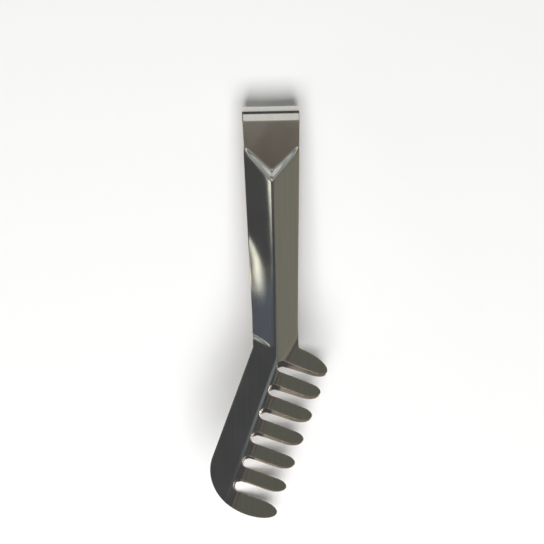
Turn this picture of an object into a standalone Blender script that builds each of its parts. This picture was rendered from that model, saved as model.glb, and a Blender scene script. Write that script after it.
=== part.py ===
"""Spaghetti tongs: one strip of spring steel, folded in the middle, its two halves pressed into mirrored arms.

Each arm has a flat pad by the fold, a V-shaped step, a handle with a rounded ridge along its middle and, past a
knee, a head that leans to one side: a flat panel and a comb of seven teeth bent inwards. The strip is cut into
three sub-parts where it flexes, at the two ends of the fold. An arm is made as the real one is: a flat blank is
cut to its outline, then pressed.

The tongs lie on the rear arm. X runs across them towards the teeth, Y from the teeth up to the fold and Z away
from the table. An arm's own plan has the same X, and S along the handle from the end of the fold. The head has
axes of its own from the knee: C along the comb, away from the handle, and A towards the tooth tips.
"""

import math

import bmesh
import bpy
import numpy as np
from mathutils import Matrix

MM = 0.001

# The strip and the fold
SHEET = 1.0 * MM
FOLD_RADIUS = 10.0 * MM  # outside
OPENING = math.radians(11.5)  # between the relaxed arms
SEAM = 0.3 * MM  # gap at each end of the fold
FOLD_STEPS = 28
FOLD_MIDDLE_RADIUS = FOLD_RADIUS - SHEET / 2

# The handle
KNEE = 118.05 * MM  # from the fold's end
FOLD_HALF_WIDTH = 14.6 * MM
NECK_HALF_WIDTH = 11.25 * MM
NECK = KNEE - 15.4 * MM  # the handle tapers down to here and is even in width from here on
TAPER = (FOLD_HALF_WIDTH - NECK_HALF_WIDTH) / NECK

# The head, in its own axes
HEAD_ANGLE = math.radians(21.1)  # between the comb and the handle
SLOTS = 6
PITCH = 12.64 * MM
FIRST_SLOT = 7.65 * MM  # middle of the first slot, from the knee
SLOT_HALF_WIDTH = 2.95 * MM
SLOT_ROOT = 3.45 * MM
LEAN = 0.068  # how far the slots and teeth lean back to the handle for each unit along them
PANEL_EDGE = -10.75 * MM
CORNER_ROUND = 3.0 * MM  # where the handle's edge meets the panel's
NECK_ROUND = 2.0 * MM  # where the handle's other edge meets the first tooth's back
TIP_LENGTH = 6.5 * MM  # rounded part of a tooth
TIP_START = 21.2 * MM
TIP_SKEW = 1.3 * MM  # how much further a tooth reaches on the handle's side
FIRST_TIP = (2.1 * MM, 27.4 * MM)
FIRST_BACK = (6.1 * MM, 16.2 * MM)  # the first tooth's curved back, as a quarter of an ellipse
LAST_TIP = (77.4 * MM, 27.8 * MM)
LAST_TIP_LENGTH = 8.5 * MM
LAST_SIDE = (5.8 * MM, 13.8 * MM)
END_LENGTH = 21.3 * MM  # the round end, along the comb
QUARTER_STEPS = 7

# The pressing
RIDGE_HEIGHT = 3.2 * MM  # also the height of the head's panel above the pad
RIDGE_ROUND = 1.5 * MM
V_APEX = 29.8 * MM
V_EDGE = 14.7 * MM
V_BAND = 4.5 * MM
V_ROUND = 0.25  # of the V's band, at each of its ends
V_NARROWING = 0.55  # how much of its width the V's band has lost at the edges
TWIST_START = 52.0 * MM  # the flank on the panel's side flattens out, from here at its edge
TWIST_LAG = 18.0 * MM  # and from this much later at the ridge
TWIST_RUN = 40.0 * MM
TWIST = 0.6
KNEE_LINE_ANGLE = math.radians(32)
KNEE_BAND = 2.6 * MM
KNEE_LINE = KNEE + 0.8 * MM  # where that line crosses the middle
TOOTH_ANGLE = math.radians(32)
TOOTH_BEND_START = 1.5 * MM
TOOTH_BEND_RADIUS = 13.0 * MM
TOOTH_BEND_WIDTH = TOOTH_BEND_RADIUS * math.sin(TOOTH_ANGLE)
BLEND_POWER = 4

# Where the blank is divided so that it can follow the pressing
HANDLE_STATION = 12.0 * MM
RIDGE_LINES = (0.0, 0.6, 1.3, 2.2, 4.0)  # from the middle, in ridge rounding radii
V_LINES = (-0.5, -0.38, -0.25, 0.25, 0.38, 0.5)  # across the V's band, in band widths
KNEE_LINES = (-0.5, -0.3, -0.1, 0.1, 0.3, 0.5)  # across the band at the knee
TOOTH_BEND_STEPS = 6
KNEE_GRID = 2.4 * MM
KNEE_GRID_REACH = 8  # lines to each side of the knee

SAME_POINT = 0.05 * MM
SLOPE_STEP = 0.01 * MM
SHARP_ANGLE = math.radians(35)


def half_width(s):
    """Half the handle's width: it tapers from the fold to the neck and is even from there on."""
    return FOLD_HALF_WIDTH - TAPER * np.minimum(s, NECK)


def head_to_plan(c, a):
    """The plan place (x, s) of a place in the head's axes, with the teeth's lean."""
    c = c - LEAN * max(a - SLOT_ROOT, 0)
    x = a * math.cos(HEAD_ANGLE) - c * math.sin(HEAD_ANGLE)
    s = KNEE + c * math.cos(HEAD_ANGLE) + a * math.sin(HEAD_ANGLE)
    return x, s


def plan_to_head(x, s):
    """The place (c, a) in the head's square axes of a plan place."""
    c = (s - KNEE) * math.cos(HEAD_ANGLE) - x * math.sin(HEAD_ANGLE)
    a = (s - KNEE) * math.sin(HEAD_ANGLE) + x * math.cos(HEAD_ANGLE)
    return c, a


def quarter(centre, size, start, turn=-1):
    """A quarter of an ellipse in the head's axes. start counts quarter turns from C towards A."""
    angles = (start + turn * np.linspace(0, 1, QUARTER_STEPS + 1)) * math.pi / 2
    return [head_to_plan(centre[0] + size[0] * math.cos(v), centre[1] + size[1] * math.sin(v)) for v in angles]


def rounded(before, corner, after, radius):
    """The arc that rounds a corner between two straight edges."""
    back = np.subtract(before, corner) / math.dist(before, corner)
    onward = np.subtract(after, corner) / math.dist(after, corner)
    half_inside = math.acos(np.dot(back, onward)) / 2
    middle = (back + onward) / np.linalg.norm(back + onward)
    across = (onward - back) / np.linalg.norm(onward - back)
    centre = corner + middle * radius / math.sin(half_inside)
    sweep = math.pi / 2 - half_inside
    turns = np.linspace(-sweep, sweep, QUARTER_STEPS + 1)
    return [tuple(centre + radius * (math.sin(v) * across - math.cos(v) * middle)) for v in turns]


def slot_root(middle):
    """The half circle at a slot's inner end."""
    centre = (middle, SLOT_ROOT + SLOT_HALF_WIDTH)
    size = (SLOT_HALF_WIDTH, SLOT_HALF_WIDTH)
    return quarter(centre, size, 2, 1) + quarter(centre, size, 3, 1)


def tooth_end(middle):
    """The rounded end of a tooth between two slots."""
    half = (PITCH - 2 * SLOT_HALF_WIDTH) / 2
    turns = np.linspace(-math.pi / 2, math.pi / 2, 2 * QUARTER_STEPS + 1)
    return [
        head_to_plan(middle + half * math.sin(v), TIP_START + TIP_LENGTH * math.cos(v) - TIP_SKEW * math.sin(v))
        for v in turns
    ]


def first_tooth():
    """From the handle's edge, round the curved back of the first tooth, to its side by the first slot."""
    side = FIRST_TIP[0] - FIRST_BACK[0]
    back_centre = (FIRST_TIP[0], FIRST_TIP[1] - FIRST_BACK[1])
    start, end = head_to_plan(side, back_centre[1]), head_to_plan(side, FIRST_TIP[1])
    share = (NECK_HALF_WIDTH - start[0]) / (end[0] - start[0])
    corner = (NECK_HALF_WIDTH, start[1] + share * (end[1] - start[1]))
    points = rounded((NECK_HALF_WIDTH, NECK), corner, end, NECK_ROUND)
    reach = plan_to_head(*points[-1])[1]
    points += [point for point in quarter(back_centre, FIRST_BACK, 2) if plan_to_head(*point)[1] > reach]
    tip_half = FIRST_SLOT - SLOT_HALF_WIDTH - FIRST_TIP[0]
    return points + quarter((FIRST_TIP[0], FIRST_TIP[1] - TIP_LENGTH), (tip_half, TIP_LENGTH), 1)


def last_tooth():
    """From the last slot, round the last tooth and the head's round end, to the panel's straight edge."""
    side = FIRST_SLOT + (SLOTS - 1) * PITCH + SLOT_HALF_WIDTH
    points = quarter((LAST_TIP[0], LAST_TIP[1] - LAST_TIP_LENGTH), (LAST_TIP[0] - side, LAST_TIP_LENGTH), 2)
    side_centre = (LAST_TIP[0], LAST_TIP[1] - LAST_SIDE[1])
    points += quarter(side_centre, LAST_SIDE, 1)
    end = LAST_TIP[0] + LAST_SIDE[0]
    end_centre = (end - END_LENGTH, side_centre[1])
    return points + quarter(end_centre, (END_LENGTH, side_centre[1] - PANEL_EDGE), 0)


def arm_outline():
    """The blank's outline in plan, round from the fold's end on the tooth side."""
    start = SEAM / 2
    points = [(half_width(start), start), (NECK_HALF_WIDTH, NECK)] + first_tooth()
    for number in range(SLOTS):
        middle = FIRST_SLOT + number * PITCH
        points += slot_root(middle)
        if number < SLOTS - 1:
            points += tooth_end(middle + PITCH / 2)
    points += last_tooth()
    corner_s = KNEE + (PANEL_EDGE + NECK_HALF_WIDTH * math.cos(HEAD_ANGLE)) / math.sin(HEAD_ANGLE)
    corner = (-NECK_HALF_WIDTH, corner_s)
    points += rounded(points[-1], corner, (-NECK_HALF_WIDTH, NECK), CORNER_ROUND)
    points += [(-NECK_HALF_WIDTH, NECK), (-half_width(start), start)]
    return [point for point, last in zip(points, points[-1:] + points) if math.dist(point, last) > SAME_POINT]


def ease(share):
    """Runs from 0 to 1 with a level start and end."""
    share = np.clip(share, 0, 1)
    return share * share * (3 - 2 * share)


def bend_up(share):
    """Level before 0, then a parabola as long as V_ROUND, then an even slope."""
    past = np.maximum(share, 0)
    curved = np.minimum(past, V_ROUND)
    return curved**2 / (2 * V_ROUND) + past - curved


def ramp(share):
    """Runs from 0 to 1 at an even slope, with both ends rounded."""
    return (bend_up(share) - bend_up(share - (1 - V_ROUND))) / (1 - V_ROUND)


def v_place(x, s):
    """Distance past the V's legs, square to them, in band widths."""
    lean = (V_APEX - V_EDGE) / half_width(V_EDGE)
    band = V_BAND * (1 - V_NARROWING * np.minimum(np.abs(x) / half_width(V_EDGE), 1))
    return (s - V_APEX + lean * np.abs(x)) / math.hypot(1, lean) / band


def knee_place(x, s):
    """Distance past the line where the panel-side flank ends, square to it, in band widths."""
    return ((s - KNEE_LINE) * math.cos(KNEE_LINE_ANGLE) - x * math.sin(KNEE_LINE_ANGLE)) / KNEE_BAND


def flank_fall(x, s):
    """Fall of the handle's two flanks from the ridge. The panel-side flank flattens out and ends at the knee."""
    across = np.sqrt(x**2 + RIDGE_ROUND**2) - RIDGE_ROUND
    edge = np.sqrt(half_width(s) ** 2 + RIDGE_ROUND**2) - RIDGE_ROUND
    lag = TWIST_LAG * (1 - np.minimum(np.abs(x) / half_width(s), 1))
    kept = 1 - TWIST * ease((s - TWIST_START - lag) / TWIST_RUN)
    kept *= 1 - ease(knee_place(x, s) + 0.5)
    return RIDGE_HEIGHT * across / edge * np.where(x < 0, kept, 1)


def tooth_fall(a):
    """Fall of the teeth: an arc along their bend line, then a straight slope."""
    past = np.maximum(a - TOOTH_BEND_START, 0)
    curved = np.minimum(past, TOOTH_BEND_WIDTH)
    return TOOTH_BEND_RADIUS - np.sqrt(TOOTH_BEND_RADIUS**2 - curved**2) + math.tan(TOOTH_ANGLE) * (past - curved)


def relief(x, s):
    """Height of the pressed sheet above the pad, towards the outside of the tongs."""
    _, a = plan_to_head(x, s)
    fall = (flank_fall(x, s) ** BLEND_POWER + tooth_fall(a) ** BLEND_POWER) ** (1 / BLEND_POWER)
    return (RIDGE_HEIGHT - fall) * ramp(v_place(x, s) + 0.5)


def cut(work, origin, normal, zone):
    """Divides the blank's faces in a zone of the plan along a straight line."""
    faces = [face for face in work.faces if zone(*face.calc_center_median().xy)]
    edges = {edge for face in faces for edge in face.edges}
    corners = {corner for face in faces for corner in face.verts}
    bmesh.ops.bisect_plane(
        work,
        geom=[*corners, *edges, *faces],
        dist=SAME_POINT / 10,
        plane_co=(*origin, 0),
        plane_no=(*normal, 0),
    )


def divide(work):
    """Divides the blank where the pressing will bend it."""
    along_c = (-math.sin(HEAD_ANGLE), math.cos(HEAD_ANGLE))
    along_a = (math.cos(HEAD_ANGLE), math.sin(HEAD_ANGLE))
    knee = (0, KNEE)
    before_knee = lambda x, s: plan_to_head(x, s)[0] < 0
    past_knee = lambda x, s: plan_to_head(x, s)[0] > 0
    handle_end = KNEE - KNEE_GRID * KNEE_GRID_REACH / 2

    cut(work, (0, handle_end), (0, 1), lambda x, s: True)
    cut(work, knee, along_c, lambda x, s: s > handle_end)
    handle = lambda x, s: before_knee(x, s) and s < handle_end
    stations = int(handle_end / HANDLE_STATION)
    for number in range(1, stations):
        cut(work, (0, handle_end * number / stations), (0, 1), handle)
    for line in RIDGE_LINES:
        for side in (1, -1):
            cut(work, (side * line * RIDGE_ROUND, 0), (1, 0), before_knee)

    lean = (V_APEX - V_EDGE) / half_width(V_EDGE)
    for line in V_LINES:
        for side in (1, -1):
            origin = (0, V_APEX + line * V_BAND * math.hypot(1, lean))
            cut(work, origin, (side * lean, 1), lambda x, s: x * side > 0 and s < 2 * V_APEX)

    knee_normal = (-math.sin(KNEE_LINE_ANGLE), math.cos(KNEE_LINE_ANGLE))
    for line in KNEE_LINES:
        origin = (0, KNEE_LINE + line * KNEE_BAND / math.cos(KNEE_LINE_ANGLE))
        cut(work, origin, knee_normal, lambda x, s: x < 0 and s > handle_end and plan_to_head(x, s)[1] < 0)

    for step in range(TOOTH_BEND_STEPS + 1):
        bend = TOOTH_BEND_START + TOOTH_BEND_WIDTH * step / TOOTH_BEND_STEPS
        cut(work, head_to_plan(0, bend), along_a, past_knee)
    reach = KNEE_GRID * KNEE_GRID_REACH
    near = lambda x, s: s > handle_end and x > 0 and plan_to_head(x, s)[0] < reach
    for line in range(-KNEE_GRID_REACH, KNEE_GRID_REACH + 1):
        cut(work, head_to_plan(line * KNEE_GRID, 0), along_c, near)
    for line in range(1, int(FIRST_TIP[1] / KNEE_GRID) + 1):
        cut(work, head_to_plan(0, line * KNEE_GRID), along_a, near)


def press(work, outward):
    """Moves the flat blank onto the pressed surface, with the sheet's thickness square to it."""
    places = np.array([corner.co for corner in work.verts])
    x, s, level = places.T
    slope_x = (relief(x + SLOPE_STEP, s) - relief(x - SLOPE_STEP, s)) / (2 * SLOPE_STEP)
    slope_s = (relief(x, s + SLOPE_STEP) - relief(x, s - SLOPE_STEP)) / (2 * SLOPE_STEP)
    square = level / np.sqrt(1 + slope_x**2 + slope_s**2)
    pressed = np.stack([x - square * slope_x, square * slope_s - s, outward * (relief(x, s) + square)], axis=-1)
    for corner, place in zip(work.verts, pressed):
        corner.co = place
    if outward > 0:
        bmesh.ops.reverse_faces(work, faces=work.faces)


def plate_mesh(name, outline, thickness):
    """A flat plate with the given outline, as one welded mesh."""
    curve = bpy.data.curves.new(name, "CURVE")
    curve.dimensions = "2D"
    curve.fill_mode = "BOTH"
    curve.extrude = thickness / 2
    spline = curve.splines.new("POLY")
    spline.points.add(len(outline) - 1)
    spline.points.foreach_set("co", [value for x, y in outline for value in (x, y, 0, 1)])
    spline.use_cyclic_u = True
    flat = bpy.data.objects.new(name, curve)
    bpy.context.scene.collection.objects.link(flat)
    graph = bpy.context.evaluated_depsgraph_get()
    mesh = bpy.data.meshes.new_from_object(flat.evaluated_get(graph))
    bpy.data.objects.remove(flat)
    work = bmesh.new()
    work.from_mesh(mesh)
    bmesh.ops.remove_doubles(work, verts=work.verts, dist=SAME_POINT / 5)
    work.to_mesh(mesh)
    work.free()
    return mesh


def arm_mesh(outward):
    """One arm about its hinge line. outward is 1 for the front arm and -1 for the rear arm."""
    mesh = plate_mesh("blank", arm_outline(), SHEET)
    work = bmesh.new()
    work.from_mesh(mesh)
    bmesh.ops.dissolve_limit(work, angle_limit=math.radians(0.1), verts=[], edges=work.edges)
    divide(work)
    bmesh.ops.remove_doubles(work, verts=work.verts, dist=SAME_POINT)
    bmesh.ops.triangulate(work, faces=work.faces, quad_method="BEAUTY", ngon_method="BEAUTY")
    press(work, outward)
    work.to_mesh(mesh)
    work.free()
    return mesh


def steel(name, color, roughness):
    """Bare steel."""
    material = bpy.data.materials.new(name)
    material.use_nodes = True
    shader = material.node_tree.nodes["Principled BSDF"]
    shader.inputs["Base Color"].default_value = (*color, 1)
    shader.inputs["Metallic"].default_value = 1.0
    shader.inputs["Roughness"].default_value = roughness
    return material


def add_piece(name, mesh, parent, matrix, collection, material):
    """Places a mesh as a sub-part."""
    mesh.name = name
    mesh.materials.append(material)
    mesh.shade_smooth()
    mesh.set_sharp_from_angle(angle=SHARP_ANGLE)
    piece = bpy.data.objects.new(name, mesh)
    collection.objects.link(piece)
    piece.parent = parent
    piece.matrix_local = matrix
    return piece


def add_empty(name, parent, matrix, collection):
    """A point that carries other objects."""
    empty = bpy.data.objects.new(name, None)
    collection.objects.link(empty)
    empty.parent = parent
    empty.matrix_local = matrix
    return empty


def fold_mesh():
    """The fold: an arc of sheet about its own axis, with Y towards the rear arm's side of the arc turned to Z."""
    trim = SEAM / 2 / FOLD_MIDDLE_RADIUS
    turns = np.linspace(-math.pi / 2 + trim, math.pi / 2 - OPENING - trim, FOLD_STEPS + 1)
    outer = [(FOLD_RADIUS * math.cos(v), FOLD_RADIUS * math.sin(v)) for v in turns]
    inner_radius = FOLD_RADIUS - SHEET
    inner = [(inner_radius * math.cos(v), inner_radius * math.sin(v)) for v in turns]
    return plate_mesh("fold", outer + inner[::-1], 2 * FOLD_HALF_WIDTH)


def fold_middle():
    """The fold's axis, above the table that the rear arm lies on."""
    return Matrix.Translation((0, 0, RIDGE_HEIGHT + SHEET / 2 + FOLD_MIDDLE_RADIUS))


def set_down(lay, pieces):
    """Moves the tongs so that the middle of their bounding box's underside is the origin."""
    bpy.context.view_layer.update()
    corners = np.array([piece.matrix_world @ corner.co for piece in pieces for corner in piece.data.vertices])
    low, high = corners.min(axis=0), corners.max(axis=0)
    lay.location = (-(low[0] + high[0]) / 2, -(low[1] + high[1]) / 2, -low[2])


def main():
    for thing in list(bpy.data.objects):
        bpy.data.objects.remove(thing)
    collection = bpy.data.collections.new("spaghetti_tongs")
    bpy.context.scene.collection.children.link(collection)
    lay = add_empty("lay", None, Matrix.Identity(4), collection)

    on_side = Matrix(((0, 0, 1, 0), (1, 0, 0, 0), (0, 1, 0, 0), (0, 0, 0, 1)))
    fold_steel = steel("fold_steel", (0.60, 0.59, 0.56), 0.22)
    pieces = [add_piece("spring_bend", fold_mesh(), lay, fold_middle() @ on_side, collection, fold_steel)]
    for name, outward, turn in (("front_arm", 1, -OPENING), ("rear_arm", -1, 0)):
        to_hinge = Matrix.Translation((0, 0, outward * FOLD_MIDDLE_RADIUS))
        hinge_place = fold_middle() @ Matrix.Rotation(turn, 4, "X") @ to_hinge
        hinge = add_empty(name + "_hinge", lay, hinge_place, collection)
        arm_steel = steel(name + "_steel", (0.54, 0.53, 0.50), 0.27)
        pieces.append(add_piece(name, arm_mesh(outward), hinge, Matrix.Identity(4), collection, arm_steel))
    set_down(lay, pieces)


main()
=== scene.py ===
# %% [markdown]
# Spaghetti tongs in brushed spring steel, seen from straight above. The real object is one strip
# of sheet steel. It is blanked flat, pressed so that each half gets a ridge and a bent comb, and
# folded in the middle. The imported part has three solids with thin seams between them, and they
# could be dressed one by one. The real strip shows no seam, so here each half of it is one smooth
# surface from the middle of the fold to the last tooth, wound round the fold.

import math

import bmesh
import bpy
import numpy as np
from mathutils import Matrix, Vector


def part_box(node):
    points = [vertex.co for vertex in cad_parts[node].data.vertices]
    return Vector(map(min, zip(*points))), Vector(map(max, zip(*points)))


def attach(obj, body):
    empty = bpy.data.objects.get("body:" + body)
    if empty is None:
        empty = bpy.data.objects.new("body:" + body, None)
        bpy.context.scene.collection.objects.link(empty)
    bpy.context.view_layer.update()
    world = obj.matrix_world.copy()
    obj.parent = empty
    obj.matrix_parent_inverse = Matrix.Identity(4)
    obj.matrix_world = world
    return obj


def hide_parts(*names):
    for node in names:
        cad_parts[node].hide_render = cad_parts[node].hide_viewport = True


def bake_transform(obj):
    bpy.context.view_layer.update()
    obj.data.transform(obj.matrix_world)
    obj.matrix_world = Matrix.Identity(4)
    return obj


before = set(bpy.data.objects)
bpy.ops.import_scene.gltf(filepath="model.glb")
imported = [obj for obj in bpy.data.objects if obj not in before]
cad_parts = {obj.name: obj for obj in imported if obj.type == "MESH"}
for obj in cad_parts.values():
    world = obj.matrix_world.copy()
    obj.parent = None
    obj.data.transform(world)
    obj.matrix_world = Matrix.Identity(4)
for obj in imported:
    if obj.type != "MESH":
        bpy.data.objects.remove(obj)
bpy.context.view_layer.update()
MM = 0.001
print("Nodes:", sorted(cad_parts))

# %% [markdown]
# A bent strip is easiest to describe flat, before it is folded. S runs along it from the end of
# the fold, and X across it. The sizes are those of the solids, so that the sheet lies where they
# do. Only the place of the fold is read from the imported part.

# %% The fold
SHEET = 1.0 * MM
FOLD_RADIUS = 10.0 * MM
FOLD_MIDDLE_RADIUS = FOLD_RADIUS - SHEET / 2
OPENING = math.radians(11.5)
HALF_FOLD = (math.pi - OPENING) / 2
fold_low, fold_high = (np.array(corner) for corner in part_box("spring_bend"))
fold_middle_x = (fold_low[0] + fold_high[0]) / 2
fold_centre = np.array([fold_middle_x, fold_high[1] - FOLD_RADIUS, fold_low[2] + FOLD_RADIUS])
print("Fold's axis, mm:", np.round(fold_centre / MM, 2))

# %% The handle's width
KNEE = 118.05 * MM
FOLD_HALF_WIDTH = 14.6 * MM
NECK_HALF_WIDTH = 11.25 * MM
NECK = KNEE - 15.4 * MM
TAPER = (FOLD_HALF_WIDTH - NECK_HALF_WIDTH) / NECK


def half_width(s):
    """Half the handle's width: it falls evenly from the fold to the neck, then stays."""
    return FOLD_HALF_WIDTH - TAPER * np.clip(s, 0, NECK)


print("Handle's width, mm:", [round(float(2 * half_width(s) / MM), 2) for s in (0, NECK)])

# %% [markdown]
# The head is the slanted comb past the knee. It leans to one side, so it has axes of its own from
# the knee: C along the comb and A towards the tooth tips. Its outline could be given in X and S,
# but along C the slots stand at an even pitch, so that one formula serves every tooth.

# %% The head's axes
HEAD_ANGLE = math.radians(21.1)
SLOT_ROOT = 3.45 * MM
LEAN = 0.068  # how far the slots and teeth lean back to the handle for each unit along them


def plan(c, a):
    """Places (x, s) on the plan of C and A: the teeth's lean, then a turn about the knee."""
    c, a = np.broadcast_arrays(np.asarray(c, float), np.asarray(a, float))
    c = c - LEAN * np.maximum(a - SLOT_ROOT, 0)
    x = a * math.cos(HEAD_ANGLE) - c * math.sin(HEAD_ANGLE)
    return np.stack([x, KNEE + c * math.cos(HEAD_ANGLE) + a * math.sin(HEAD_ANGLE)], axis=-1)


def across_head(x, s):
    """A of plan places: how far they lie towards the tooth tips."""
    return (s - KNEE) * math.sin(HEAD_ANGLE) + x * math.cos(HEAD_ANGLE)


print("10 mm along the comb is at X and S, mm:", np.round(plan(10 * MM, 0) / MM, 2))

# %% [markdown]
# A press shapes the sheet between two dies. Such a surface could be sculpted, or smoothed from a
# rough cage, but neither meets given heights. Here the pressed height is one formula over the
# whole plan, so that every bend is as round as it is set and both arms match. Two flanks fall
# from a rounded ridge, and the one on the panel's side flattens out towards the knee. The teeth
# fall along an arc and then straight. At the V the height runs down to the flat pad at an even
# slope.

# %% Soft and even slopes
V_ROUND = 0.25  # of the V's band, at each of its ends


def ease(share):
    """Runs from 0 to 1 with a level start and end: 3 t squared less 2 t cubed."""
    share = np.clip(share, 0, 1)
    return share * share * (3 - 2 * share)


def bend_up(share):
    """Level before 0, then a parabola as long as V_ROUND, then an even slope."""
    past = np.maximum(share, 0)
    curved = np.minimum(past, V_ROUND)
    return curved**2 / (2 * V_ROUND) + past - curved


def ramp(share):
    """Runs from 0 to 1 at an even slope, with both ends rounded."""
    return (bend_up(share) - bend_up(share - (1 - V_ROUND))) / (1 - V_ROUND)


quarters = np.linspace(0, 1, 5)
print("Soft slope:", np.round(ease(quarters), 2), "even slope:", np.round(ramp(quarters), 2))

# %% The flanks' fall
RIDGE_HEIGHT = 3.2 * MM
RIDGE_ROUND = 1.5 * MM
TWIST_START = 52.0 * MM
TWIST_LAG = 18.0 * MM
TWIST_RUN = 40.0 * MM
TWIST = 0.6
KNEE_LINE_ANGLE = math.radians(32)
KNEE_BAND = 2.6 * MM
KNEE_LINE = KNEE + 0.8 * MM


def flank_fall(x, s):
    """Fall of the flanks: a hyperbola across the rounded ridge, scaled to reach the edges.

    On the panel's side a share of it goes along the twist, and the rest at the knee's line.
    """
    across = np.sqrt(x**2 + RIDGE_ROUND**2) - RIDGE_ROUND
    edge = np.sqrt(half_width(s) ** 2 + RIDGE_ROUND**2) - RIDGE_ROUND
    past_line = (s - KNEE_LINE) * math.cos(KNEE_LINE_ANGLE) - x * math.sin(KNEE_LINE_ANGLE)
    lag = TWIST_LAG * (1 - np.minimum(np.abs(x) / half_width(s), 1))
    twisted = TWIST * ease((s - TWIST_START - lag) / TWIST_RUN)
    kept = (1 - twisted) * (1 - ease(past_line / KNEE_BAND + 0.5))
    return RIDGE_HEIGHT * across / edge * np.where(x < 0, kept, 1)


edges = np.array([-NECK_HALF_WIDTH, NECK_HALF_WIDTH])
print("Fall at the neck's two edges, mm:", np.round(flank_fall(edges, NECK) / MM, 2))

# %% The teeth's fall
TOOTH_ANGLE = math.radians(32)
TOOTH_BEND_START = 1.5 * MM
TOOTH_BEND_RADIUS = 13.0 * MM
TOOTH_BEND_WIDTH = TOOTH_BEND_RADIUS * math.sin(TOOTH_ANGLE)


def tooth_fall(a):
    """Fall of the teeth: an arc along their bend line, then a straight slope."""
    past = np.maximum(a - TOOTH_BEND_START, 0)
    curved = np.minimum(past, TOOTH_BEND_WIDTH)
    arc_fall = TOOTH_BEND_RADIUS - np.sqrt(TOOTH_BEND_RADIUS**2 - curved**2)
    return arc_fall + math.tan(TOOTH_ANGLE) * (past - curved)


print("The teeth's bend is", round(TOOTH_BEND_WIDTH / MM, 1), "mm wide")

# %% The V and the whole height
V_APEX = 29.8 * MM
V_EDGE = 14.7 * MM
V_BAND = 4.5 * MM
V_NARROWING = 0.55
V_APEX_ROUND = 0.6 * MM  # the press leaves the V's point a little round
BLEND_POWER = 4


def relief(x, s):
    """Pressed height: the ridge less the larger fall, brought in at the V.

    The two falls cross in a rounded line, by a power mean. The V's two lines are the branches of a
    hyperbola, so that its point is round.
    """
    tooth = tooth_fall(across_head(x, s))
    fall = (flank_fall(x, s) ** BLEND_POWER + tooth**BLEND_POWER) ** (1 / BLEND_POWER)
    lean = (V_APEX - V_EDGE) / half_width(V_EDGE)
    band = V_BAND * (1 - V_NARROWING * np.minimum(np.abs(x) / half_width(V_EDGE), 1))
    v_lines = V_APEX - lean * np.sqrt(x**2 + V_APEX_ROUND**2)
    behind_v = (s - v_lines) / math.hypot(1, lean) / band
    return (RIDGE_HEIGHT - fall) * ramp(behind_v + 0.5)


print("Height of the pad and ridge, mm:", [round(float(relief(0, s) / MM), 2) for s in (0, NECK)])

# %% [markdown]
# The outline has arcs, slots and straight edges. A filled outline would get long thin triangles,
# which show as kinks in shiny steel. So the plan is filled with patches. Each patch is bounded by
# four curves and blends between them, which keeps the rows running along the teeth as the bends
# do.

# %% Curves
DENSE = 200  # points on each arc before it is divided for a patch


def spread(points, count):
    """Evenly spaced points along a polyline."""
    points = np.asarray(points, float)
    length = np.concatenate([[0], np.cumsum(np.linalg.norm(np.diff(points, axis=0), axis=1))])
    even = np.linspace(0, length[-1], count + 1)
    return np.stack([np.interp(even, length, column) for column in points.T], axis=-1)


def arc(centre, size, start, stop):
    """Part of an ellipse in the head's axes, between angles in degrees from C towards A."""
    turn = np.radians(np.linspace(start, stop, DENSE))
    return plan(centre[0] + size[0] * np.cos(turn), centre[1] + size[1] * np.sin(turn))


def line(*ends):
    """Straight edges between places in the head's axes."""
    return np.concatenate([plan(*end)[None] for end in ends])


# %% Patches
def patch(bottom, top, left, right):
    """Places inside four curves: bottom blended with top, plus left with right, less corners."""
    u = np.linspace(0, 1, len(bottom))[None, :, None]
    v = np.linspace(0, 1, len(left))[:, None, None]
    rows = (1 - v) * bottom[None] + v * top[None]
    columns = (1 - u) * left[:, None] + u * right[:, None]
    low_corners = (1 - u) * bottom[0] + u * bottom[-1]
    high_corners = (1 - u) * top[0] + u * top[-1]
    return rows + columns - ((1 - v) * low_corners + v * high_corners)


# %% The handle with half of the fold
HANDLE_END = 108.3 * MM  # the handle's surface stops here and the knee's begins
HANDLE_ROWS = 190
TOOTH_COLUMNS = 38  # also across the handle's half that leads to the teeth
PANEL_COLUMNS = 22  # also across its other half
crown = -FOLD_MIDDLE_RADIUS * HALF_FOLD
stations = np.linspace(crown, HANDLE_END, HANDLE_ROWS + 1)


def handle(side, columns):
    """Half of the handle, from the ridge to one edge."""
    share = np.linspace(0, 1, columns + 1)[None]
    x = side * half_width(stations)[:, None] * share
    return np.stack([x, np.broadcast_to(stations[:, None], x.shape)], axis=-1)


patches = [handle(1, TOOTH_COLUMNS), handle(-1, PANEL_COLUMNS)]
print("Half of the fold is", round(-crown / MM, 2), "mm of strip")

# %% [markdown]
# At the knee the handle's edge sweeps out into the back of the first tooth. On the other side it
# turns by a small rounded corner into the panel's straight edge. A bevel could round these
# corners in the mesh, but it would break up the rows, so the rounds are part of the curves.


# %% Round a corner
def rounded(before, corner, after, radius):
    """The arc that rounds a corner: its centre lies on the line that halves the corner."""
    before, corner, after = (np.asarray(point, float) for point in (before, corner, after))
    back = (before - corner) / np.linalg.norm(before - corner)
    onward = (after - corner) / np.linalg.norm(after - corner)
    half_inside = math.acos(back @ onward) / 2
    middle = (back + onward) / np.linalg.norm(back + onward)
    square = (onward - back) / np.linalg.norm(onward - back)
    sweep = math.pi / 2 - half_inside
    turn = np.linspace(-sweep, sweep, DENSE)[:, None]
    centre = corner + middle * radius / math.sin(half_inside)
    return centre + radius * (np.sin(turn) * square - np.cos(turn) * middle)


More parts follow.
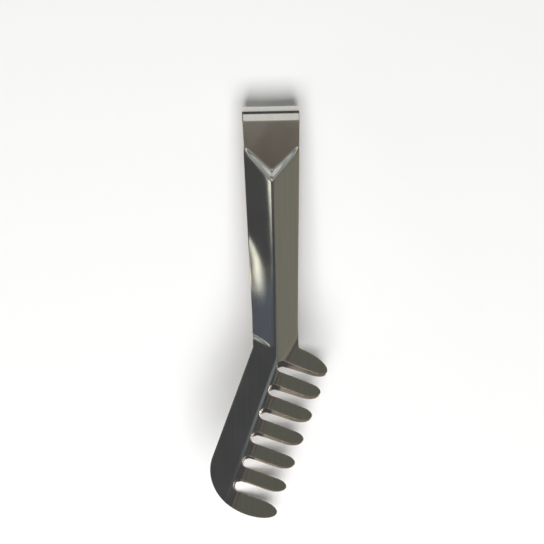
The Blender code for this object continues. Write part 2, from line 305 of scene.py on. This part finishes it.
# %% The first tooth's edge
FIRST_SLOT = 7.65 * MM
SLOT_HALF_WIDTH = 2.95 * MM
FIRST_TIP = (2.1 * MM, 27.4 * MM)
FIRST_BACK = (6.1 * MM, 16.2 * MM)
TIP_LENGTH = 6.5 * MM
NECK_ROUND = 2.0 * MM
back_side = FIRST_TIP[0] - FIRST_BACK[0]
back_start, back_end = plan(back_side, FIRST_TIP[1] - FIRST_BACK[1]), plan(back_side, FIRST_TIP[1])
back_share = (NECK_HALF_WIDTH - back_start[0]) / (back_end[0] - back_start[0])
back_corner = back_start + back_share * (back_end - back_start)
neck_arc = rounded((NECK_HALF_WIDTH, NECK), back_corner, back_end, NECK_ROUND)
back_arc = arc((FIRST_TIP[0], FIRST_TIP[1] - FIRST_BACK[1]), FIRST_BACK, 180, 90)
back_arc = back_arc[across_head(*back_arc.T) > across_head(*neck_arc[-1])]
first_side = FIRST_SLOT - SLOT_HALF_WIDTH
belly_size = (first_side - FIRST_TIP[0], TIP_LENGTH)
belly = arc((FIRST_TIP[0], FIRST_TIP[1] - TIP_LENGTH), belly_size, 90, 0)
tooth_edge = np.concatenate([[(NECK_HALF_WIDTH, HANDLE_END)], neck_arc, back_arc, belly])
print("The first tooth's tip is at X and S, mm:", np.round(plan(*FIRST_TIP) / MM, 1))

# %% The panel's corner
PANEL_EDGE = -10.75 * MM
CORNER_ROUND = 3.0 * MM
corner_s = KNEE + (PANEL_EDGE + NECK_HALF_WIDTH * math.cos(HEAD_ANGLE)) / math.sin(HEAD_ANGLE)
corner = (-NECK_HALF_WIDTH, corner_s)
panel_start = plan(FIRST_SLOT, PANEL_EDGE)
panel_corner = rounded(panel_start, corner, (-NECK_HALF_WIDTH, NECK), CORNER_ROUND)
panel_edge = np.concatenate([[(-NECK_HALF_WIDTH, HANDLE_END)], panel_corner[::-1], [panel_start]])
print("The panel's corner is at S, mm:", round(corner_s / MM, 1))

# %% The two patches at the knee
KNEE_ROWS = 64
ROOT_CENTRE = SLOT_ROOT + SLOT_HALF_WIDTH
bend = np.linspace(0, 1, DENSE)[:, None]
root = plan(FIRST_SLOT, SLOT_ROOT)
handle_end, knee = np.array((0, HANDLE_END)), np.array((0, KNEE))
middle = (1 - bend) ** 2 * handle_end + 2 * bend * (1 - bend) * knee + bend**2 * root
middle = spread(middle, KNEE_ROWS)
root_size = (SLOT_HALF_WIDTH, SLOT_HALF_WIDTH)
first_root = arc((FIRST_SLOT, ROOT_CENTRE), root_size, -90, -180)
slot_side = np.concatenate([first_root, line((first_side, FIRST_TIP[1] - TIP_LENGTH))])
panel_side = line((FIRST_SLOT, SLOT_ROOT), (FIRST_SLOT, PANEL_EDGE))
patches += [
    patch(patches[0][-1], spread(slot_side, TOOTH_COLUMNS), middle, spread(tooth_edge, KNEE_ROWS)),
    patch(patches[1][-1], spread(panel_side, PANEL_COLUMNS), middle, spread(panel_edge, KNEE_ROWS)),
]
print("The row down the knee's middle is", len(middle), "points long")

# %% [markdown]
# The panel carries the teeth. Its edge is straight and then curves round the end. The five teeth
# between two slots are alike, and an array could repeat one of them. But they are one sheet with
# the panel, so each is a patch of its own that starts from the panel's row of slot roots.

# %% The panel
SLOTS = 6
PITCH = 12.64 * MM
LAST_SLOT = FIRST_SLOT + (SLOTS - 1) * PITCH
END_CENTRE = (61.9 * MM, 14.0 * MM)
END_ROUND = (21.3 * MM, END_CENTRE[1] - PANEL_EDGE)
ROWS = 24  # across a tooth
c = np.linspace(FIRST_SLOT, LAST_SLOT, ROWS * (SLOTS - 1) + 1)
past_straight = np.maximum(c - END_CENTRE[0], 0)
edge_a = END_CENTRE[1] - END_ROUND[1] * np.sqrt(1 - (past_straight / END_ROUND[0]) ** 2)
share = np.linspace(0, 1, PANEL_COLUMNS + 1)[None]
panel = plan(c[:, None], SLOT_ROOT + share * (edge_a[:, None] - SLOT_ROOT))
patches.append(panel)
print("From the first slot to the last, mm:", round((LAST_SLOT - FIRST_SLOT) / MM, 1))

# %% The teeth between two slots
TIP_START = 21.2 * MM
TIP_SKEW = 1.3 * MM


def tooth(number):
    """A tooth: straight sides from the round roots of two slots, and half an ellipse."""
    low, high = FIRST_SLOT + number * PITCH, FIRST_SLOT + (number + 1) * PITCH
    centre, half = (low + high) / 2, PITCH / 2 - SLOT_HALF_WIDTH
    near_root = arc((low, ROOT_CENTRE), root_size, -90, 0)
    far_root = arc((high, ROOT_CENTRE), root_size, -90, -180)
    near = np.concatenate([near_root, line((centre - half, TIP_START + TIP_SKEW))])
    far = np.concatenate([far_root, line((centre + half, TIP_START - TIP_SKEW))])
    turn = np.linspace(-math.pi / 2, math.pi / 2, DENSE)
    end_a = TIP_START + TIP_LENGTH * np.cos(turn) - TIP_SKEW * np.sin(turn)
    end = plan(centre + half * np.sin(turn), end_a)
    roots = spread(line((low, SLOT_ROOT), (high, SLOT_ROOT)), ROWS)
    return patch(spread(near, TOOTH_COLUMNS), spread(far, TOOTH_COLUMNS), roots, spread(end, ROWS))


patches += [tooth(number) for number in range(SLOTS - 1)]
print("A tooth is", round((PITCH - 2 * SLOT_HALF_WIDTH) / MM, 2), "mm wide")

# %% [markdown]
# The last tooth is wider, and its back is the round end of the comb. It could be cut from a
# larger tooth, but the cut would leave odd faces. Two patches share the end's curve instead: one
# fills the tooth, and the other the corner between the panel and the curve.

# %% The last tooth and the round end
LAST_TIP = (77.4 * MM, 27.8 * MM)
LAST_TIP_LENGTH = 8.5 * MM
LAST_SIDE = (END_CENTRE[0] + END_ROUND[0] - LAST_TIP[0], LAST_TIP[1] - END_CENTRE[1])
END_ROWS = 40
last_side = LAST_SLOT + SLOT_HALF_WIDTH
tip_centre = (LAST_TIP[0], LAST_TIP[1] - LAST_TIP_LENGTH)
side_centre = (LAST_TIP[0], LAST_TIP[1] - LAST_SIDE[1])
root_angle = -math.degrees(math.asin((END_CENTRE[1] - SLOT_ROOT) / END_ROUND[1]))
slot_angle = -math.degrees(math.acos((LAST_SLOT - END_CENTRE[0]) / END_ROUND[0]))
tip_size = (LAST_TIP[0] - last_side, LAST_TIP_LENGTH)
last_root = arc((LAST_SLOT, ROOT_CENTRE), root_size, -90, 0)
near = np.concatenate([last_root, line((last_side, tip_centre[1]))])
tip = np.concatenate([arc(tip_centre, tip_size, 180, 90), arc(side_centre, LAST_SIDE, 90, 45)])
end_arc = arc(END_CENTRE, END_ROUND, root_angle, 0)
far = np.concatenate([end_arc, arc(side_centre, LAST_SIDE, 0, 45)])
roots = spread(np.stack([plan(LAST_SLOT, SLOT_ROOT), far[0]]), END_ROWS)
near, far = spread(near, TOOTH_COLUMNS), spread(far, TOOTH_COLUMNS)
patches.append(patch(near, far, roots, spread(tip, END_ROWS)))
halfway = (root_angle + slot_angle) / 2
end_far = spread(arc(END_CENTRE, END_ROUND, root_angle, halfway), PANEL_COLUMNS)
end_edge = spread(arc(END_CENTRE, END_ROUND, slot_angle, halfway), END_ROWS)
patches.append(patch(panel[-1], end_far, roots, end_edge))

# %% Look for cells that are turned over
print(len(patches), "patches,", sum(p.shape[0] * p.shape[1] for p in patches), "points")
for p in patches:
    along, across = p[1:, :-1] - p[:-1, :-1], p[:-1, 1:] - p[:-1, :-1]
    area = along[..., 0] * across[..., 1] - along[..., 1] * across[..., 0]
    print("  cells", area.shape, "turned over:", min((area > 0).sum(), (area < 0).sum()))

# %% [markdown]
# The finished strip: every plan point is lifted by the pressed height, and what lies before the
# handle's start is wound round the fold. The front half is turned by the opening. A bend modifier
# could wind the fold, but a formula puts every point where the solids have it. Each point keeps
# its plan place and its distance from the cut edge as an attribute, because the brushing follows
# the strip and a painted highlight lies along the cut edge.


# %% Wind the strip about the fold
def strip_place(places, outward):
    """Plan places on the strip: pressed along the arm, and wound about the fold's axis before it.

    The outward side is 1 for the front half, which is turned by the opening, and -1 for the rear.
    """
    x, s = places[..., 0], places[..., 1]
    along = np.maximum(s, 0)
    turn = np.maximum(-s, 0) / FOLD_MIDDLE_RADIUS
    reach = FOLD_MIDDLE_RADIUS + relief(x, along)
    y = reach * np.sin(turn) - along
    z = outward * reach * np.cos(turn)
    opened = -OPENING if outward > 0 else 0
    cos, sin = math.cos(opened), math.sin(opened)
    return np.stack([x, y * cos - z * sin, y * sin + z * cos], axis=-1) + fold_centre


# %% Build the two halves
MERGE_DISTANCE = 0.004 * MM


def grid_faces(rows, columns, start, flip):
    """Quads between neighbouring grid points."""
    index = start + np.arange(rows * columns).reshape(rows, columns)
    corners = [index[:-1, :-1], index[:-1, 1:], index[1:, 1:], index[1:, :-1]]
    quads = np.stack(corners, axis=-1).reshape(-1, 4)
    return quads[:, ::-1] if flip else quads


def build_half(name, outward):
    """One half of the strip as one sheet without thickness, welded where its patches meet."""
    points = np.concatenate([p.reshape(-1, 2) for p in patches])
    faces, start = [], 0
    for p in patches:
        first_cell = np.cross(p[1, 0] - p[0, 0], p[0, 1] - p[0, 0])
        last_cell = np.cross(p[-1, -1] - p[-2, -1], p[-1, -1] - p[-1, -2])
        flip = (first_cell + last_cell > 0) != (outward > 0)
        faces.append(grid_faces(*p.shape[:2], start, flip))
        start += p.shape[0] * p.shape[1]
    mesh = bpy.data.meshes.new(name)
    mesh.from_pydata(strip_place(points, outward), [], np.concatenate(faces))
    strip = np.column_stack([points, np.zeros(len(points))]).astype(np.float32)
    placed = mesh.attributes.new("strip", "FLOAT_VECTOR", "POINT")
    placed.data.foreach_set("vector", strip.ravel())
    work = bmesh.new()
    work.from_mesh(mesh)
    bmesh.ops.remove_doubles(work, verts=work.verts, dist=MERGE_DISTANCE)
    work.to_mesh(mesh)
    work.free()
    piece = bpy.data.objects.new(name, mesh)
    bpy.context.scene.collection.objects.link(piece)
    return piece


front = build_half("front_half", 1)
rear = build_half("rear_half", -1)
print("Points in each half:", len(front.data.vertices))

# %% [markdown]
# The real sheet is 1 mm thick, and its cut edges are tumbled round. The thickness and the rounds
# could be built into the mesh. As modifiers they can still be changed afterwards. The halves meet
# at the crown, which isn't a cut edge, so the rounding goes by weights that leave the crown out.

# %% Find the cut edges
CROWN_MARGIN = 0.01 * MM
BLOCKS = 400  # the points are compared with the cut edge in so many blocks, to keep each small


def cut_edges(mesh, strip):
    """The edges that only one face uses, without those on the crown, and their ends."""
    used = np.empty(len(mesh.loops), np.int32)
    mesh.loops.foreach_get("edge_index", used)
    ends = np.empty(len(mesh.edges) * 2, np.int32)
    mesh.edges.foreach_get("vertices", ends)
    ends = ends.reshape(-1, 2)
    cut = np.bincount(used, minlength=len(ends)) == 1
    return cut & ~(strip[ends, 1] < crown + CROWN_MARGIN).all(axis=1), ends


def distances(strip, rim):
    """Each point's distance on the plan from the nearest point of the cut edge."""
    blocks = np.array_split(strip[:, :2], BLOCKS)
    nearest = [np.linalg.norm(some[:, None] - rim, axis=2).min(axis=1) for some in blocks]
    return np.concatenate(nearest)


# %% Give the sheet its thickness and round its edges
EDGE_ROUND = 0.4 * MM
EDGE_SEGMENTS = 3


def finish_edges(piece):
    """Writes each point's distance from the cut edge, and adds the thickness and the rounding."""
    mesh = piece.data
    strip = np.empty(len(mesh.vertices) * 3, np.float32)
    mesh.attributes["strip"].data.foreach_get("vector", strip)
    strip = strip.reshape(-1, 3)
    cut, ends = cut_edges(mesh, strip)
    strip[:, 2] = distances(strip, strip[np.unique(ends[cut]), :2])
    mesh.attributes["strip"].data.foreach_set("vector", strip.ravel())
    weights = mesh.attributes.new("bevel_weight_edge", "FLOAT", "EDGE")
    weights.data.foreach_set("value", cut.astype(np.float32))
    thick = piece.modifiers.new("sheet", "SOLIDIFY")
    thick.thickness = SHEET
    thick.offset = 0
    rounding = piece.modifiers.new("cut_edge", "BEVEL")
    rounding.limit_method = "WEIGHT"
    rounding.width = EDGE_ROUND
    rounding.segments = EDGE_SEGMENTS
    mesh.shade_smooth()
    print(piece.name, "has", cut.sum(), "cut edges")


for piece in (front, rear):
    finish_edges(piece)

# %% [markdown]
# The steel is cold rolled and brushed along the strip before blanking. Fine lines run along S
# everywhere, a little darker and rougher in bands. The pressed and handled surface has faint
# clouds of wear in its roughness, and a brighter, slightly warm highlight is painted along the cut
# edges. A picture could carry the lines, but it would need unwrapping and would blur close up.
# Noise that is stretched along the strip's own places follows every bend and stays sharp.

# %% Patterns along the strip
# Each pattern has its lines for each metre across and along the strip, and its detail.
FINE_LINES = (2600, 40, 2)
BANDS = (700, 10, 3)
CLOUDS = (90, 60, 3)


def node(tree, kind, **settings):
    """Adds a shader node with the given settings."""
    made = tree.nodes.new(kind)
    for key, value in settings.items():
        setattr(made, key, value)
    return made


def streaks(tree, vector, lines):
    """Noise stretched along the strip: its places are scaled by the lines for each metre."""
    across, along, detail = lines
    scaled = node(tree, "ShaderNodeVectorMath", operation="MULTIPLY")
    scaled.inputs[1].default_value = (across, along, 0)
    tree.links.new(vector, scaled.inputs[0])
    noise = node(tree, "ShaderNodeTexNoise")
    noise.inputs["Scale"].default_value = 1
    noise.inputs["Detail"].default_value = detail
    tree.links.new(scaled.outputs[0], noise.inputs["Vector"])
    return noise.outputs["Fac"]


def mapped(tree, value, source, target):
    """Maps one range of a value evenly to another, and holds it at the ends."""
    made = node(tree, "ShaderNodeMapRange")
    for name, number in zip(("From Min", "From Max", "To Min", "To Max"), (*source, *target)):
        made.inputs[name].default_value = number
    tree.links.new(value, made.inputs["Value"])
    return made.outputs[0]


# %% The steel's colour
FINE_SHARE = 0.55
STREAK_RANGE = (0.45, 1.0)  # of the summed lines, between the dark and the light steel
# Distance from the cut edge over which the painted edge highlight, a brighter warm colour, fades
# out.
EDGE_HIGHLIGHT_RANGE = (0.1 * MM, 0.9 * MM)  # distance from the cut edge


def steel_color(tree, strip, fine, bands, colors):
    """The summed lines run from the dark to the light steel, which turns to a painted highlight
    colour near the cut edge.
    """
    dark, light, edge = colors
    link = tree.links.new
    summed = node(tree, "ShaderNodeMath", operation="MULTIPLY_ADD")
    summed.inputs[1].default_value = FINE_SHARE
    link(fine, summed.inputs[0])
    link(bands, summed.inputs[2])
    steel = node(tree, "ShaderNodeValToRGB")
    for stop, position, color in zip(steel.color_ramp.elements, STREAK_RANGE, (dark, light)):
        stop.position = position
        stop.color = (*color, 1)
    link(summed.outputs[0], steel.inputs["Fac"])
    parts = node(tree, "ShaderNodeSeparateXYZ")
    link(strip, parts.inputs[0])
    # Painted highlight: close to the cut edge the steel's colour turns to the brighter, warm edge
    # colour.
    edge_highlight_mix = node(tree, "ShaderNodeMix", data_type="RGBA")
    edge_highlight_mix.inputs["B"].default_value = (*edge, 1)
    link(mapped(tree, parts.outputs["Z"], EDGE_HIGHLIGHT_RANGE, (1, 0)), edge_highlight_mix.inputs["Factor"])
    link(steel.outputs["Color"], edge_highlight_mix.inputs["A"])
    return edge_highlight_mix.outputs["Result"]


# %% Brushed steel
CLOUD_RANGE = (0.3, 0.7)
ROUGHER = (-0.02, 0.03)
LINE_STRENGTH = 0.08
LINE_DEPTH = 0.02 * MM


def brushed_steel(name, colors, roughness):
    """Steel with brushing, clouds of wear in the roughness and a painted highlight on the cut
    edges, all placed by the strip attribute.
    """
    material = bpy.data.materials.new(name)
    material.use_nodes = True
    tree = material.node_tree
    link = tree.links.new
    shader = tree.nodes["Principled BSDF"]
    shader.inputs["Metallic"].default_value = 1
    strip = node(tree, "ShaderNodeAttribute", attribute_name="strip").outputs["Vector"]
    fine, bands, clouds = (streaks(tree, strip, lines) for lines in (FINE_LINES, BANDS, CLOUDS))
    link(steel_color(tree, strip, fine, bands, colors), shader.inputs["Base Color"])
    rough = mapped(tree, clouds, CLOUD_RANGE, [roughness + more for more in ROUGHER])
    link(rough, shader.inputs["Roughness"])
    bump = node(tree, "ShaderNodeBump")
    bump.inputs["Strength"].default_value = LINE_STRENGTH
    bump.inputs["Distance"].default_value = LINE_DEPTH
    link(fine, bump.inputs["Height"])
    link(bump.outputs["Normal"], shader.inputs["Normal"])
    return material


# Each set: dark steel, light steel, and the painted highlight colour of the cut edges.
FRONT_COLORS = (0.55, 0.54, 0.52), (0.60, 0.59, 0.56), (0.78, 0.66, 0.54)
REAR_COLORS = (0.53, 0.52, 0.50), (0.58, 0.57, 0.54), (0.76, 0.64, 0.53)
front.data.materials.append(brushed_steel("front_steel", FRONT_COLORS, 0.12))
rear.data.materials.append(brushed_steel("rear_steel", REAR_COLORS, 0.14))
print("Steels:", [piece.data.materials[0].name for piece in (front, rear)])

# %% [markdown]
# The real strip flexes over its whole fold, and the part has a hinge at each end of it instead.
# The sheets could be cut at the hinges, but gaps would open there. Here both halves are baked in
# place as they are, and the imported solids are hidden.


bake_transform(front)
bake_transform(rear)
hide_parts("front_arm", "spring_bend")
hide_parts("rear_arm")

# %% [markdown]
# The tongs lie on matt white paper in a dim grey studio. The floor could stand still, but when the
# arms are squeezed or spread about the fold, the rear arm would sink into it or leave it. The
# rear arm lies on the floor, so the floor keeps with it.

# %% The floor and the surround
FLOOR_SIZE = 3
FLOOR_GAP = 0.1 * MM  # keeps the floor from shining through the faces that lie on it
PAPER_COLOR = (0.86, 0.86, 0.86, 1)
PAPER_ROUGHNESS = 0.9
SURROUND_COLOR = (0.45, 0.47, 0.485, 1)
SURROUND_STRENGTH = 0.18

bpy.ops.mesh.primitive_plane_add(size=FLOOR_SIZE)
floor = bpy.context.object
floor.name = "floor"
floor.location.z = -FLOOR_GAP
paper = bpy.data.materials.new("paper")
paper.use_nodes = True
paper_shader = paper.node_tree.nodes["Principled BSDF"]
paper_shader.inputs["Base Color"].default_value = PAPER_COLOR
paper_shader.inputs["Roughness"].default_value = PAPER_ROUGHNESS
floor.data.materials.append(paper)
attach(floor, "rear")

world = bpy.data.worlds.new("studio")
world.use_nodes = True
surround = world.node_tree.nodes["Background"]
surround.inputs["Color"].default_value = SURROUND_COLOR
surround.inputs["Strength"].default_value = SURROUND_STRENGTH
bpy.context.scene.world = world
print("The floor is", FLOOR_SIZE, "m wide")

# %% [markdown]
# Steel shows what stands around it, so each flat of the pressing mirrors its own part of the
# studio. A picture of a room as the world would be quicker, but no one flat could be set by
# itself. So one large lamp lights the floor and gives the shadow, and weak soft lamps stand where
# the flats look: bright ones behind the fold for the fold and the V, a narrow slanted window on
# the left for the twisted flank, and warm dim ones on the right for the other flank and the
# teeth. What looks at none of them mirrors the surround and stays dark.

# %% The lamps
AIM = Vector((0, 0, 0.03))


def lamp(name, place, size, power, color, turn=0):
    """A soft lamp aimed at the middle of the tongs, then turned in degrees about its own axis."""
    light = bpy.data.lights.new(name, "AREA")
    light.shape = "RECTANGLE"
    light.size, light.size_y = size
    light.energy = power
    light.color = color
    holder = bpy.data.objects.new(name, light)
    holder.location = place
    holder.rotation_euler = (AIM - Vector(place)).to_track_quat("-Z", "Y").to_euler()
    holder.rotation_euler.rotate_axis("Z", math.radians(turn))
    bpy.context.scene.collection.objects.link(holder)


lamp("floor_soft", (0.0, -0.75, 1.55), (1.0, 1.0), 34, (1, 1, 1))
lamp("wall_middle", (0.0, 0.905, 0.735), (0.15, 0.82), 0.36, (0.98, 1, 0.95))
lamp("wall_right", (0.8, 0.9, 0.42), (1.0, 0.85), 1.0, (0.93, 1, 0.97))
lamp("wall_left", (-0.8, 0.9, 0.42), (1.0, 0.85), 1.0, (0.93, 1, 0.97))
lamp("right_soft", (0.62, 0.48, 0.95), (0.6, 0.6), 0.205, (1, 0.955, 0.68))
lamp("bend_brown", (0.78, 0.05, 0.86), (0.5, 0.2), 0.034, (1, 0.62, 0.45))
lamp("bend_blue", (0.2, 0.3, 1.06), (0.2, 0.2), 0.026, (0.85, 0.93, 1))
lamp("teeth_soft", (0.9, 0.0, 0.5), (0.8, 0.4), 0.072, (1, 0.99, 0.66))
lamp("v_right", (0.33, 0.93, 0.6), (0.3, 0.75), 0.165, (0.93, 1, 0.97))
lamp("v_left", (-0.33, 0.93, 0.6), (0.3, 0.75), 0.165, (0.93, 1, 0.97))
lamp("left_window", (-0.326, 0.545, 0.99), (0.254, 0.07), 0.095, (1, 1, 0.86), turn=141.7)
lamp("flank_blue", (-0.23, 0.44, 1.03), (0.22, 0.22), 0.012, (0.4, 0.58, 1))
lamp("edge_tan", (-1.15, -0.2, 0.35), (1.2, 0.5), 3.0, (1, 0.86, 0.72))
lamp("pad_soft", (0.0, 0.4, 0.6), (0.3, 0.16), 0.0105, (1, 0.64, 0.24))
print(len(bpy.data.lights), "lamps")

# %% [markdown]
# The camera looks straight down from 1.2 m, as the photographer's did, and is turned by about a
# degree. A nearer camera with a wider lens would frame the tongs as well, but it would show the
# front arm, which is nearer to it, too large beside the rear one.

# %% The camera
CAMERA_PLACE = (-1.0 * MM, -75.2 * MM)  # from the fold's axis
CAMERA_HEIGHT = 1.245
CAMERA_TURN = math.radians(-1.2)
LENS = 158.8

camera_data = bpy.data.cameras.new("camera")
camera_data.lens = LENS
camera = bpy.data.objects.new("camera", camera_data)
camera.location = (*(fold_centre[:2] + CAMERA_PLACE), CAMERA_HEIGHT)
camera.rotation_euler = (0, 0, CAMERA_TURN)
bpy.context.scene.collection.objects.link(camera)
bpy.context.scene.camera = camera
bpy.context.scene.view_settings.view_transform = "Standard"
print("The camera is", CAMERA_HEIGHT, "m up, with a lens of", LENS, "mm")
